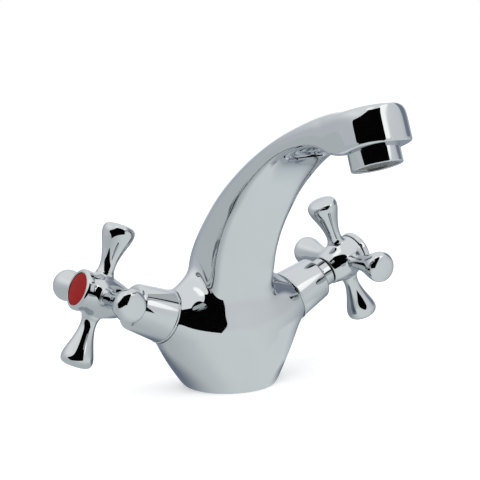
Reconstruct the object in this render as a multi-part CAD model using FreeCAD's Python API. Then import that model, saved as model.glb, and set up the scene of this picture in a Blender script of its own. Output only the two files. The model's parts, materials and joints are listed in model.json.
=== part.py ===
import FreeCAD, Part
import math
import os

# Basin mixer tap with two cross handles and a fixed arched spout, in millimetres.
# The origin is the centre of the base's underside, +Z is up and the spout points to -Y.
# The hot valve is at -X and the cold valve at +X, and both stand shut.

# Modelling: how far cuts run past what they cut, and how near an edge has to be to count as found
cut_overrun = 2.0
match_tolerance = 0.05

# Body casting: base, valve bosses and column
base_radius = 25.0
base_edge_round = 1.4
valve_tilt = 23.4
valve_crossing_height = 24.7
boss_reach = 41.7
boss_radius = 14.3
flank_bulge = 1.2
shoulder_half_width = 16.0
column_half_width = 19.5
column_front = 17.2
column_back = 21.8

# Body casting: spout
outlet_reach = 124.8
outlet_height = 133.4
outlet_tilt = 19.0
tip_radius = 17.0
tip_height = 19.0

# Body casting: waterways and threads
casting_wall = 3.0
chamber_floor_wall = 4.9
fixing_thread_radius = 3.4
fixing_thread_depth = 14.0
inlet_spacing = 21.0
inlet_thread_radius = 4.46
inlet_thread_depth = 13.0
inlet_way_radius = 3.5
mixing_port_radius = 3.3
mixing_port_inset = 5.0
mixing_port_entry = 4.0
mixing_port_lean = 36.0

# Base seal
base_seal_inset = 4.2
base_seal_width = 3.0
base_seal_height = 2.4
base_seal_clearance = 0.1

# Valve: bore, seal and ceramic discs
bore_depth = 22.0
valve_thread_radius = 10.48
thread_clearance = 0.08
seat_port_radius = 4.5
seat_seal_height = 3.2
disc_radius = 7.0
disc_thickness = 3.4
disc_clearance = 0.08
disc_film = 0.02
disc_opening_radius = 5.6
disc_opening_inner_radius = 2.4
disc_opening_angle = 80.0
disc_slot_width = 3.2
disc_slot_depth = 1.6

# Valve: headwork
skirt_wall = 1.5
skirt_lift = 0.8
window_width = 7.0
window_height = 3.2
window_bridge = 0.4
gasket_thickness = 1.0
gasket_width = 1.5
flange_thickness = 2.0
flange_clearance = 0.6
hex_across_flats = 19.0
hex_height = 6.0
stem_radius = 8.0

# Valve: spindle
spindle_radius = 4.5
running_clearance = 0.05
fork_height = 5.0
fork_clearance = 0.1
spindle_collar_radius = 6.6
spindle_collar_thickness = 2.0
spindle_washer_thickness = 0.8
seal_groove_depth = 1.3
seal_gap = 0.03
seal_groove_width = 1.9
circlip_thickness = 1.0
circlip_radius = 6.2
circlip_groove_depth = 0.8
circlip_gap_width = 5.0
circlip_headroom = 0.85
spline_radius = 4.0
spline_tooth_depth = 0.4
spline_teeth = 20
spline_clearance = 0.06

# Shroud over the valve
shroud_length = 22.3
shroud_lip = 0.1
shroud_end_radius = 11.9
shroud_end_round = 2.4
shroud_gap = 0.8
shroud_foot_inset = 0.9
shroud_bead_width = 1.2
shroud_bead_step = 0.4
shroud_bead_round = 0.35
shroud_wall = 1.6
shroud_top_wall = 1.4
shroud_hex_gap = 2.0
neck_radius = 8.0
neck_length = 6.2
neck_wall = 2.3
handle_gap = 0.7

# Cross handle
hub_back_length = 13.0
hub_front_length = 8.5
hub_back_radius = 8.6
hub_middle_radius = 11.0
hub_front_radius = 9.95
hub_edge_round = 0.6
arm_reach = 37.5
knob_radius = 8.6
arm_waist_radius = 4.0
arm_count = 4
bush_radius = 6.2
bush_inset = 0.8
bush_clearance = 0.03
web_height = 2.2
web_thickness = 2.0
cap_recess_radius = 8.2

# Handle screw, cap and index disc
screw_radius = 2.0
screw_length = 12.0
screw_head_radius = 3.7
screw_head_height = 2.6
screw_socket_width = 2.5
screw_socket_depth = 1.5
screw_clearance = 0.2
screw_thread_clearance = 0.05
cap_radius = 10.6
cap_height = 3.6
cap_edge_round = 1.7
cap_rim_width = 0.4
cap_seam = 0.15
cap_spigot_length = 2.6
cap_spigot_wall = 1.6
cap_floor = 1.0
cap_clearance = 0.1
index_disc_thickness = 1.2
index_disc_crown = 0.35

# Aerator
collar_radius = 12.0
collar_edge_round = 0.5
collar_lip_height = 1.0
collar_mouth_radius = 9.9
nipple_radius = 11.0
nipple_length = 4.2
nipple_wall = 1.8
aerator_washer_thickness = 0.9
aerator_flange_thickness = 1.1
aerator_insert_height = 7.0
aerator_insert_wall = 1.4
aerator_plate_thickness = 1.2
aerator_jet_radius = 0.7
aerator_jet_circle = 4.8
aerator_jets = 12
aerator_fit = 0.2
screen_thickness = 0.6
screen_hole_width = 1.3
screen_bar_width = 0.55
screen_hole_count = 11

# Shares of the flank's height: control sections from the base's edge to the boss's lower rim
flank_shares = (0.06, 0.18, 0.35, 0.53, 0.71, 0.87, 1.0)
# Shares of the boss rim's height, and of the shoulder's rise above it
boss_shares = (0.12, 0.26, 0.37, 0.5, 0.63, 0.76, 0.89, 1.0)
shoulder_shares = (0.12, 0.26, 0.45, 0.68)
shoulder_rise_share = 0.935
# Hull depth as shares of the boss radius, against the way up the boss rim
hull_depth_shares = (
    (0.0, 1.6), (0.2, 1.585), (0.35, 1.5), (0.5, 1.39), (0.67, 1.26), (0.83, 1.12), (1.0, 0.97), (1.2, 0.8),
    (1.9, 0.63),
)
# Column front, back and half width as shares of their sizes, and how square the front corners are,
# against shares of the boss rim's upper height
column_shares = (
    (0.0, 0.7, 0.64, 0.67, 2.0),
    (0.26, 0.87, 0.89, 0.82, 2.2),
    (0.52, 0.98, 1.03, 0.93, 2.8),
    (0.76, 1.0, 1.08, 0.99, 4.0),
    (0.92, 1.03, 1.08, 1.0, 5.0),
    (1.07, 1.12, 1.04, 1.0, 7.2),
    (1.18, 1.22, 0.93, 1.0, 7.7),
    (1.5, 1.4, 0.55, 1.0, 8.0),
)
column_back_power = 2.1
round_power = 2
union_power = 10
# Spout sections: front and back places as shares of the outlet's reach and height, the width's way from
# the column to the tip, the widest line's place between front and back, and both corner powers
spout_section_shares = (
    (0.2, 0.581, -0.095, 0.592, 0.0, 0.52, 8.0, 2.2),
    (0.25, 0.666, 0.004, 0.694, 0.0, 0.5, 8.0, 2.2),
    (0.325, 0.754, 0.132, 0.813, 0.07, 0.48, 8.0, 2.3),
    (0.44, 0.858, 0.35, 0.948, 0.24, 0.46, 8.0, 2.4),
    (0.58, 0.953, 0.557, 1.037, 0.45, 0.44, 7.5, 2.8),
    (0.72, 0.996, 0.712, 1.088, 0.65, 0.38, 8.0, 3.5),
    (0.829, 1.008, 0.809, 1.116, 0.79, 0.32, 9.0, 4.3),
    (0.9, 0.985, 0.857, 1.125, 0.9, 0.28, 11.0, 5.0),
    (0.944, 0.982, 0.9, 1.131, 0.97, 0.25, 14.0, 5.5),
)
# Nose sections: reach before the outlet axis and half width as shares of the tip's radius, then the
# top and the underside as shares of the tip's height
nose_section_shares = (
    (0.0, 1.0, 1.0, 0.0),
    (0.35, 0.97, 0.98, 0.0),
    (0.64, 0.86, 0.955, 0.0),
    (0.86, 0.66, 0.93, 0.0),
    (0.97, 0.44, 0.91, 0.0),
    (1.0, 0.27, 0.89, 0.01),
    (1.0, 0.1, 0.87, 0.02),
)
nose_line_share = 0.24
nose_bottom_power = 16.0
nose_top_power = 7.0
section_points = 72
# Places of the two spindle seals along the headwork's narrow bore
seal_shares = (0.48, 0.7)
# Handle arm: control points along the arm, and their radius in shares of the waist and of the knob
arm_shares = (
    (0.16, 1.12, 0.0),
    (0.32, 1.0, 0.0),
    (0.48, 1.02, 0.0),
    (0.64, 0.6, 0.37),
    (0.78, 0.0, 0.887),
    (0.88, 0.0, 1.0),
    (0.965, 0.0, 0.928),
    (1.0, 0.0, 0.53),
    (1.0, 0.0, 0.0),
)
base_edge_share = 0.45

valve_sides = {"hot": -1, "cold": 1}
tilt = math.radians(valve_tilt)
lean = math.radians(outlet_tilt)
full_turn = 360.0
half_turn = 180.0
quarter_turn = 90.0
whole_circle = 2 * math.pi
spline_degree = 3
up = FreeCAD.Vector(0, 0, 1)
across = FreeCAD.Vector(1, 0, 0)
forward = FreeCAD.Vector(0, -1, 0)
origin = FreeCAD.Vector(0, 0, 0)

# Heights along a valve axis, measured outwards from where the two axes cross
seat_station = boss_reach - bore_depth
fixed_disc_station = seat_station + seat_seal_height
turning_disc_station = fixed_disc_station + disc_thickness + disc_film
fork_station = turning_disc_station + disc_thickness
collar_station = fork_station + fork_height
washer_station = collar_station + spindle_collar_thickness
shoulder_station = washer_station + spindle_washer_thickness + disc_film
flange_station = boss_reach + gasket_thickness
hex_station = flange_station + flange_thickness
stem_station = hex_station + hex_height
shroud_end_station = boss_reach + shroud_length
spline_station = shroud_end_station - shroud_top_wall
circlip_station = spline_station - circlip_headroom - circlip_thickness
stem_end_station = circlip_station - running_clearance
hub_back_station = shroud_end_station + neck_length + handle_gap
arm_station = hub_back_station + hub_back_length
web_station = arm_station + web_height
recess_station = web_station + web_thickness
hub_front_station = arm_station + hub_front_length
cap_station = hub_front_station + cap_seam
cap_front_station = cap_station + cap_height
spindle_end_station = web_station - spline_clearance
skirt_station = seat_station + skirt_lift
thread_station = fork_station + window_height + window_bridge * 2
index_disc_radius = cap_radius - cap_edge_round - cap_rim_width - cap_clearance

# Heights along the outlet axis, measured out of the spout from the tip's flat underside
aerator_flange_station = nipple_length + aerator_washer_thickness
screen_station = aerator_flange_station + aerator_flange_thickness
lip_station = screen_station + screen_thickness
collar_end_station = lip_station + collar_lip_height

# Heights of the boss rim over the base
boss_centre_height = valve_crossing_height + boss_reach * math.sin(tilt)
boss_low_height = boss_centre_height - boss_radius * math.cos(tilt)
boss_high_height = boss_centre_height + boss_radius * math.cos(tilt)
boss_rim_rise = boss_high_height - boss_low_height
shoulder_rise = (spout_section_shares[0][1] * outlet_height - boss_high_height) * shoulder_rise_share

# Where the waterways meet
inlet_reach = inlet_spacing / 2
bore_top_height = valve_crossing_height + seat_station * math.sin(tilt) + valve_thread_radius * math.cos(tilt)
chamber_floor_height = bore_top_height + chamber_floor_wall


def place_on_valve(shape, side):
    """Turns a piece modelled along +Z onto the hot or the cold valve axis."""
    turn = FreeCAD.Rotation(FreeCAD.Vector(0, 1, 0), side * (quarter_turn - valve_tilt))
    shape.Placement = FreeCAD.Placement(up * valve_crossing_height, turn)
    return shape


def place_on_outlet(shape):
    """Turns a piece modelled along +Z onto the outlet axis, with +Z out of the spout."""
    turn = FreeCAD.Rotation(across, half_turn - outlet_tilt)
    shape.Placement = FreeCAD.Placement(forward * outlet_reach + up * outlet_height, turn)
    return shape


def rod(radius, low, high):
    return Part.makeCylinder(radius, high - low, up * low)


def tube(outer, inner, low, high):
    return rod(outer, low, high).cut(rod(inner, low - cut_overrun, high + cut_overrun))


def turned(outline):
    """Turns a closed outline of (radius, height) points about +Z."""
    points = [FreeCAD.Vector(radius, 0, height) for radius, height in outline]
    return Part.Face(Part.makePolygon(points + points[:1])).revolve(origin, up, full_turn)


def ring_point(radius, angle, height):
    return FreeCAD.Vector(radius * math.cos(angle), radius * math.sin(angle), height)


def prism(points, high):
    """Extrudes a level outline up to a height."""
    return Part.Face(Part.makePolygon(points + points[:1])).extrude(up * (high - points[0].z))


def hexagon(across_flats, low, high):
    corner_radius = across_flats / 2 / math.cos(whole_circle / 12)
    return prism([ring_point(corner_radius, whole_circle * corner / 6, low) for corner in range(6)], high)


def edges_at(shape, height, radius):
    """The round edges of a turned piece that lie at a height and have a radius."""
    found = []
    for edge in shape.Edges:
        box = edge.BoundBox
        level = abs(box.ZMin - height) < match_tolerance and abs(box.ZMax - height) < match_tolerance
        if level and abs(box.XMax - radius) < match_tolerance:
            found.append(edge)
    return found


def read_shares(shares, place):
    """Reads a table of shares between its rows, each of which starts with its place."""
    for low, high in zip(shares, shares[1:]):
        if place <= high[0]:
            way = (place - low[0]) / (high[0] - low[0])
            return [first + (last - first) * way for first, last in zip(low[1:], high[1:])]
    return shares[-1][1:]


def oval(angle, half_width, front, back, front_power, back_power):
    """Distance to the edge of an oval whose front and back halves differ in depth and squareness."""
    rise = math.sin(angle)
    power, depth = (front_power, front) if rise < 0 else (back_power, back)
    return ((abs(math.cos(angle)) / half_width) ** power + (abs(rise) / depth) ** power) ** (-1 / power)


def section_angles():
    return [whole_circle * point / section_points - math.pi / 2 for point in range(section_points)]


def boss_face_reach(height):
    """Where the slanted face of a boss lies at a height."""
    return boss_reach * math.cos(tilt) - (height - boss_centre_height) * math.tan(tilt)


def hull_section(height):
    """Half width and half depth of the hull that joins the base and the bosses."""
    if height <= boss_low_height:
        rise = height / boss_low_height
        reach = base_radius + (boss_face_reach(boss_low_height) - base_radius) * rise
        first = hull_depth_shares[0][1] * boss_radius
        return reach + flank_bulge * math.sin(math.pi * rise), base_radius + (first - base_radius) * rise
    depth = read_shares(hull_depth_shares, (height - boss_low_height) / boss_rim_rise)[0] * boss_radius
    if height <= boss_high_height:
        drop = (height - boss_centre_height) / math.cos(tilt)
        chord = math.sqrt(max(boss_radius ** 2 - drop ** 2, 0))
        return boss_face_reach(height) / math.sqrt(1 - (chord / depth) ** 2), depth
    left = 1 - (height - boss_high_height) / shoulder_rise
    rim = boss_face_reach(boss_high_height)
    return shoulder_half_width + (rim - shoulder_half_width) * left ** 2, depth


def column_outline(height, wall=0.0):
    """Angles and distances of the column's outline at a height, less a wall."""
    front, back, half_width, corner = read_shares(column_shares, height / boss_high_height)
    sizes = (half_width * column_half_width - wall, front * column_front - wall, back * column_back - wall)
    return [(angle, oval(angle, *sizes, corner, column_back_power)) for angle in section_angles()]


def level_section(height):
    """Control points of a level section: the hull and the column, blended into one outline."""
    reach, depth = hull_section(height)
    points = []
    for angle, distance in column_outline(height):
        hull = oval(angle, reach, depth, depth, round_power, round_power)
        blend = (distance ** union_power + hull ** union_power) ** (1 / union_power)
        points.append(ring_point(blend, angle, height))
    return points


def chamber_section(height):
    """Control points of a level section of the mixing chamber, inside the column's wall."""
    return [ring_point(distance, angle, height) for angle, distance in column_outline(height, casting_wall)]


def base_edge_section(inset):
    """Control points of a circle in the base's plane, at its rounded edge."""
    return [ring_point(base_radius - inset, angle, 0) for angle in section_angles()]


def slanted_section(front_point, back_point, half_width, line_share, front_power, back_power, wall=0.0):
    """Control points of a spout section in the plane through its front and back points."""
    run = back_point - front_point
    depth = run.Length
    run.normalize()
    middle = front_point + run * (depth * line_share)
    front = depth * line_share - wall
    back = depth * (1 - line_share) - wall
    points = []
    for angle in section_angles():
        distance = oval(angle, half_width - wall, front, back, front_power, back_power)
        points.append(middle + run * (distance * math.sin(angle)) + across * (distance * math.cos(angle)))
    return points


def spout_section(row, wall=0.0):
    front_y, front_z, back_y, back_z, width, line, front_power, back_power = row
    front_point = FreeCAD.Vector(0, -front_y * outlet_reach, front_z * outlet_height)
    back_point = FreeCAD.Vector(0, -back_y * outlet_reach, back_z * outlet_height)
    half_width = column_half_width + (tip_radius - column_half_width) * width
    return slanted_section(front_point, back_point, half_width, line, front_power, back_power, wall)


def nose_section(row, wall=0.0):
    """Control points of a nose section, in a plane along the outlet axis."""
    reach, width, top, underside = row
    rise = FreeCAD.Vector(0, math.sin(lean), math.cos(lean)) * tip_height
    foot = forward * outlet_reach + up * outlet_height
    foot += FreeCAD.Vector(0, -math.cos(lean), math.sin(lean)) * (reach * tip_radius)
    return slanted_section(
        foot + rise * underside, foot + rise * top, width * tip_radius, nose_line_share,
        nose_bottom_power, nose_top_power, wall
    )


def skinned(sections):
    """A solid whose smooth skin follows closed control sections, with flat ends."""
    spans = len(sections) - spline_degree
    ends = spline_degree + 1
    skin = Part.BSplineSurface()
    skin.buildFromPolesMultsKnots(
        sections,
        [ends] + [1] * (spans - 1) + [ends],
        [1] * (section_points + 1),
        list(range(spans + 1)),
        list(range(section_points + 1)),
        False,
        True,
        spline_degree,
        spline_degree,
    )
    side = skin.toShape()
    flats = [Part.Face(Part.Wire([edge])) for edge in side.Edges if edge.isClosed()]
    shell = Part.makeShell([side] + flats)
    shell.sewShape()
    return Part.makeSolid(shell)


def casting_outside():
    """Base, bosses, column, spout and nose in one skin, with the flat boss faces."""
    sections = [base_edge_section(base_edge_round), base_edge_section(base_edge_round * base_edge_share)]
    sections += [level_section(boss_low_height * share) for share in flank_shares]
    sections += [level_section(boss_low_height + boss_rim_rise * share) for share in boss_shares]
    sections += [level_section(boss_high_height + shoulder_rise * share) for share in shoulder_shares]
    sections += [spout_section(row) for row in spout_section_shares]
    sections += [nose_section(row) for row in nose_section_shares]
    body = skinned(sections)
    for side in valve_sides.values():
        beyond = Part.makeCylinder(boss_radius * 2, boss_reach, up * boss_reach)
        body = body.cut(place_on_valve(beyond, side))
    return body


def waterway():
    """The mixing chamber and the way through the spout, inside the casting's wall."""
    heights = [chamber_floor_height, boss_high_height]
    heights += [boss_high_height + shoulder_rise * share for share in shoulder_shares]
    sections = [chamber_section(height) for height in heights]
    sections += [spout_section(row, casting_wall) for row in spout_section_shares]
    sections.append(nose_section(nose_section_shares[0], casting_wall))
    return skinned(sections)


def valve_cuts(side):
    """The bore, ports and threaded inlet of one valve."""
    bore = rod(valve_thread_radius, seat_station, boss_reach + cut_overrun)
    seat_port = rod(seat_port_radius, inlet_reach / math.cos(tilt), seat_station + cut_overrun)
    inlet = rod(inlet_thread_radius, -cut_overrun, inlet_thread_depth)
    inlet = inlet.fuse(rod(inlet_way_radius, 0, valve_crossing_height + inlet_reach * math.tan(tilt)))
    inlet.translate(across * side * inlet_reach)
    station = seat_station + mixing_port_inset
    start = across * side * station * math.cos(tilt) + up * (valve_crossing_height + station * math.sin(tilt))
    lean_in = math.radians(mixing_port_lean)
    course = up * math.cos(lean_in) - across * side * math.sin(lean_in)
    length = (chamber_floor_height + mixing_port_entry - start.z) / math.cos(lean_in)
    mixing_port = Part.makeCylinder(mixing_port_radius, length, start, course)
    return [place_on_valve(bore.fuse(seat_port), side), inlet, mixing_port]


def tap_body():
    body = casting_outside()
    nipple_bore = nipple_radius - nipple_wall
    body = body.fuse(place_on_outlet(rod(nipple_radius, -casting_wall * 2, nipple_length)))
    cuts = [waterway()]
    cuts.append(place_on_outlet(rod(nipple_bore, casting_wall * 2 - tip_height, nipple_length + cut_overrun)))
    cuts.append(rod(fixing_thread_radius, -cut_overrun, fixing_thread_depth))
    for side in valve_sides.values():
        cuts += valve_cuts(side)
    cuts.append(base_seal_ring(base_seal_clearance, cut_overrun))
    return body.cut(cuts)


def base_seal_ring(clearance=0.0, overrun=0.0):
    """The base seal, or with a clearance and an overrun the groove it lies in."""
    middle = base_radius - base_seal_inset
    half = base_seal_width / 2 + clearance
    return tube(middle + half, middle - half, -overrun, base_seal_height + clearance)


def sectors(low, high, turn):
    """The two opposite openings of a ceramic disc."""
    both = []
    for middle in (turn, turn + half_turn):
        wedge = Part.makeCylinder(disc_opening_radius, high - low, up * low, up, disc_opening_angle)
        wedge.rotate(origin, up, middle - disc_opening_angle / 2)
        both.append(wedge.cut(rod(disc_opening_inner_radius, low, high)))
    return both


def fixed_disc():
    end = fixed_disc_station + disc_thickness
    return rod(disc_radius, fixed_disc_station, end).cut(sectors(fixed_disc_station, end, 0))


def rotating_disc():
    disc = rod(disc_radius, turning_disc_station, fork_station)
    disc = disc.cut(sectors(turning_disc_station, fork_station, quarter_turn))
    slot = Part.makeBox(disc_radius * 2, disc_slot_width, disc_slot_depth)
    slot.translate(FreeCAD.Vector(-disc_radius, -disc_slot_width / 2, fork_station - disc_slot_depth))
    return disc.cut(slot)


def seat_seal():
    return tube(disc_radius, seat_port_radius, seat_station, fixed_disc_station)


def headwork_body():
    """Skirt over the discs, thread, flange, hexagon and stem, bored for the spindle."""
    chamber = disc_radius + disc_clearance
    skirt = chamber + skirt_wall
    thread = valve_thread_radius - thread_clearance
    flange = boss_radius - shroud_wall - flange_clearance
    body = turned([
        (0, skirt_station), (skirt, skirt_station), (skirt, thread_station), (thread, thread_station),
        (thread, flange_station), (flange, flange_station), (flange, hex_station), (stem_radius, hex_station),
        (stem_radius, stem_end_station), (0, stem_end_station),
    ])
    body = body.fuse(hexagon(hex_across_flats, hex_station, stem_station))
    window = Part.makeBox(skirt * 2, window_width, thread_station - fork_station - window_bridge * 2)
    window.translate(FreeCAD.Vector(-skirt, -window_width / 2, fork_station + window_bridge))
    return body.cut([
        rod(chamber, seat_station, shoulder_station),
        rod(spindle_radius + running_clearance, seat_station, stem_end_station + cut_overrun),
        window,
    ])


def headwork_gasket():
    inner = valve_thread_radius + thread_clearance
    return tube(inner + gasket_width, inner, boss_reach, flange_station)


def spline_prism(grow, low, high):
    """A toothed bar about +Z, grown by a clearance for the hole that takes it."""
    points = []
    for tooth in range(spline_teeth):
        for place, depth in enumerate((0, 0, spline_tooth_depth, spline_tooth_depth)):
            angle = whole_circle * (tooth + place / 4) / spline_teeth
            points.append(ring_point(spline_radius - depth + grow, angle, low))
    return prism(points, high)


def seal_stations():
    return [shoulder_station + (stem_end_station - shoulder_station) * share for share in seal_shares]


def spindle():
    """Tongue, collar, shaft with its grooves, and the splined end with its screw hole."""
    tongue_low = fork_station - disc_slot_depth + fork_clearance
    tongue_width = disc_slot_width - fork_clearance * 2
    tongue = Part.makeBox(spindle_collar_radius * 2, tongue_width, collar_station - tongue_low)
    tongue.translate(FreeCAD.Vector(-spindle_collar_radius, -tongue_width / 2, tongue_low))
    bar = tongue.common(rod(spindle_collar_radius, tongue_low, collar_station))
    bar = bar.fuse([
        rod(spindle_collar_radius, collar_station, washer_station),
        rod(spindle_radius, washer_station, spline_station),
        spline_prism(0, spline_station, spindle_end_station),
    ])
    around = spindle_radius + cut_overrun
    cuts = []
    for middle in seal_stations():
        groove = seal_groove_width / 2
        cuts.append(tube(around, spindle_radius - seal_groove_depth, middle - groove, middle + groove))
    circlip_end = circlip_station + circlip_thickness + running_clearance
    cuts.append(tube(around, spindle_radius - circlip_groove_depth, stem_end_station, circlip_end))
    hole = screw_radius + screw_thread_clearance
    cuts.append(rod(hole, recess_station - screw_length - cut_overrun, spindle_end_station + cut_overrun))
    return bar.cut(cuts)


def spindle_o_rings():
    thickness = (seal_groove_depth + running_clearance) / 2 - seal_gap
    middle = spindle_radius + running_clearance - seal_gap - thickness
    return Part.makeCompound([Part.makeTorus(middle, thickness, up * station) for station in seal_stations()])


def spindle_washer():
    inner = spindle_radius + running_clearance
    return tube(spindle_collar_radius, inner, washer_station, washer_station + spindle_washer_thickness)


def spindle_circlip():
    inner = spindle_radius - circlip_groove_depth + running_clearance
    ring = tube(circlip_radius, inner, circlip_station, circlip_station + circlip_thickness)
    gap = Part.makeBox(circlip_radius + cut_overrun, circlip_gap_width, circlip_thickness)
    gap.translate(FreeCAD.Vector(0, -circlip_gap_width / 2, circlip_station))
    return ring.cut(gap)


def shroud():
    """Tapered cover screwed onto the stem, with a neck that reaches up to the handle."""
    outer = boss_radius + shroud_lip
    foot = outer - shroud_foot_inset
    bead_low = boss_reach + shroud_gap
    bead_high = bead_low + shroud_bead_width
    taper = (outer - shroud_end_radius) / shroud_length
    ledge = stem_station + shroud_hex_gap
    stem_bore = stem_radius + thread_clearance
    neck_bore = neck_radius - neck_wall
    neck_end = shroud_end_station + neck_length
    body = turned([
        (outer - shroud_wall, boss_reach), (foot, boss_reach), (foot, bead_low), (outer, bead_low),
        (outer, bead_high), (outer - shroud_bead_step, bead_high), (shroud_end_radius, shroud_end_station),
        (neck_radius, shroud_end_station), (neck_radius, neck_end), (neck_bore, neck_end),
        (neck_bore, spline_station), (stem_bore, spline_station), (stem_bore, ledge),
        (outer - shroud_wall - taper * (ledge - boss_reach), ledge),
    ])
    body = body.makeFillet(shroud_end_round, edges_at(body, shroud_end_station, shroud_end_radius))
    bead_edges = edges_at(body, bead_low, outer) + edges_at(body, bead_high, outer)
    return body.makeFillet(shroud_bead_round, bead_edges)


def hub():
    """The handle's barrel, with a curved side."""
    back = FreeCAD.Vector(hub_back_radius, 0, hub_back_station)
    middle = FreeCAD.Vector(hub_middle_radius, 0, arm_station)
    front = FreeCAD.Vector(hub_front_radius, 0, hub_front_station)
    side = Part.Arc(back, middle, front).toShape()
    path = Part.makePolygon([front, up * hub_front_station, up * hub_back_station, back])
    barrel = Part.Face(Part.Wire([side] + path.Edges)).revolve(origin, up, full_turn)
    return barrel.makeFillet(hub_edge_round, edges_at(barrel, hub_back_station, hub_back_radius))


def arm():
    """One trumpet arm along +X from the hub's axis, with a domed end."""
    poles = []
    for along, waist, knob in arm_shares:
        radius = waist * arm_waist_radius + knob * knob_radius
        poles.append(FreeCAD.Vector(along * arm_reach, 0, arm_station + radius))
    curve = Part.BSplineCurve()
    curve.buildFromPoles(poles, False, spline_degree)
    start = FreeCAD.Vector(poles[0].x, 0, arm_station)
    path = Part.makePolygon([poles[-1], start, poles[0]])
    return Part.Face(Part.Wire([curve.toShape()] + path.Edges)).revolve(up * arm_station, across, full_turn)


def handle():
    """Hub and four arms in one casting, bored for the bush, the screw and the cap."""
    arms = []
    for place in range(arm_count):
        limb = arm()
        limb.rotate(origin, up, full_turn * place / arm_count)
        arms.append(limb)
    return hub().fuse(arms).cut([
        rod(bush_radius + bush_clearance, hub_back_station - cut_overrun, web_station),
        rod(screw_radius + screw_clearance, web_station - cut_overrun, recess_station + cut_overrun),
        rod(cap_recess_radius, recess_station, hub_front_station + cut_overrun),
    ])


def spline_bush():
    low = hub_back_station + bush_inset
    toothed_hole = spline_prism(spline_clearance, low - cut_overrun, web_station + cut_overrun)
    return rod(bush_radius, low, web_station).cut(toothed_hole)


def handle_screw():
    head_end = recess_station + screw_head_height
    screw = rod(screw_head_radius, recess_station, head_end)
    screw = screw.fuse(rod(screw_radius, recess_station - screw_length, recess_station))
    return screw.cut(hexagon(screw_socket_width, head_end - screw_socket_depth, head_end + cut_overrun))


def handle_cap():
    """Ring on the hub's front: a spigot into the hub, and a shallow seat for the index disc."""
    spigot = cap_recess_radius - cap_clearance
    spigot_low = cap_station - cap_spigot_length
    seat = cap_front_station - index_disc_thickness
    hollow = spigot - cap_spigot_wall
    rim = index_disc_radius + cap_clearance
    cap = turned([
        (0, seat - cap_floor), (hollow, seat - cap_floor), (hollow, spigot_low), (spigot, spigot_low),
        (spigot, cap_station), (cap_radius, cap_station), (cap_radius, cap_front_station),
        (rim, cap_front_station), (rim, seat), (0, seat),
    ])
    return cap.makeFillet(cap_edge_round, edges_at(cap, cap_front_station, cap_radius))


def index_disc():
    """Coloured disc with a slightly crowned face."""
    seat = cap_front_station - index_disc_thickness
    edge = FreeCAD.Vector(index_disc_radius, 0, cap_front_station - index_disc_crown)
    top = up * cap_front_station
    sweep = (index_disc_radius ** 2 + index_disc_crown ** 2) / (index_disc_crown * 2)
    half = index_disc_radius / 2
    drop = sweep - math.sqrt(sweep ** 2 - half ** 2)
    face = Part.Arc(edge, FreeCAD.Vector(half, 0, cap_front_station - drop), top).toShape()
    path = Part.makePolygon([top, up * seat, FreeCAD.Vector(index_disc_radius, 0, seat), edge])
    return Part.Face(Part.Wire([face] + path.Edges)).revolve(origin, up, full_turn)


def aerator_collar():
    """Threaded ring round the nipple, with a lip that holds the screen."""
    collar = turned([
        (nipple_radius + thread_clearance, 0), (collar_radius, 0), (collar_radius, collar_end_station),
        (collar_mouth_radius, collar_end_station), (collar_mouth_radius, lip_station),
        (nipple_radius + thread_clearance, lip_station),
    ])
    return collar.makeFillet(collar_edge_round, edges_at(collar, collar_end_station, collar_radius))


def aerator_washer():
    outer = nipple_radius - aerator_fit
    return tube(outer, nipple_radius - nipple_wall, nipple_length, aerator_flange_station)


def aerator_insert():
    """Cup in the nipple's bore, with a ring of jets through its inner plate."""
    outer = nipple_radius - nipple_wall - aerator_fit
    low = screen_station - aerator_insert_height
    cup = rod(outer, low, screen_station)
    cup = cup.fuse(rod(nipple_radius - aerator_fit, aerator_flange_station, screen_station))
    cuts = [rod(outer - aerator_insert_wall, low + aerator_plate_thickness, screen_station + cut_overrun)]
    for jet in range(aerator_jets):
        angle = whole_circle * jet / aerator_jets
        hole = rod(aerator_jet_radius, low - cut_overrun, low + aerator_plate_thickness + cut_overrun)
        hole.translate(ring_point(aerator_jet_circle, angle, 0))
        cuts.append(hole)
    return cup.cut(cuts)


def aerator_screen():
    """Thin plate with a square grid of holes inside the collar's mouth."""
    plate = rod(nipple_radius - aerator_fit, screen_station, lip_station)
    pitch = screen_hole_width + screen_bar_width
    first = -pitch * (screen_hole_count - 1) / 2
    holes = []
    for column in range(screen_hole_count):
        for row in range(screen_hole_count):
            centre = FreeCAD.Vector(first + pitch * column, first + pitch * row, screen_station)
            if math.hypot(centre.x, centre.y) + screen_hole_width > collar_mouth_radius:
                continue
            hole = Part.makeBox(screen_hole_width, screen_hole_width, screen_thickness)
            hole.translate(centre - FreeCAD.Vector(screen_hole_width / 2, screen_hole_width / 2, 0))
            holes.append(hole)
    return plate.cut(holes)


valve_pieces = {
    "shroud": shroud,
    "headwork_body": headwork_body,
    "headwork_gasket": headwork_gasket,
    "seat_seal": seat_seal,
    "fixed_disc": fixed_disc,
    "rotating_disc": rotating_disc,
    "spindle": spindle,
    "spindle_o_rings": spindle_o_rings,
    "spindle_washer": spindle_washer,
    "spindle_circlip": spindle_circlip,
    "handle": handle,
    "spline_bush": spline_bush,
    "handle_screw": handle_screw,
    "handle_cap": handle_cap,
    "index_disc": index_disc,
}
outlet_pieces = {
    "aerator_collar": aerator_collar,
    "aerator_washer": aerator_washer,
    "aerator_insert": aerator_insert,
    "aerator_screen": aerator_screen,
}

pieces = {"tap_body": tap_body(), "base_seal": base_seal_ring()}
for node, make in outlet_pieces.items():
    pieces[node] = place_on_outlet(make())
for name, side in valve_sides.items():
    for node, make in valve_pieces.items():
        pieces[name + "_" + node] = place_on_valve(make(), side)

os.makedirs("parts", exist_ok=True)
for node, shape in pieces.items():
    shape.exportStep("parts/" + node + ".step")
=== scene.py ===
"""Builds the visible pieces of a two-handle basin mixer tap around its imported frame, and its stage."""

import json
import math

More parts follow.
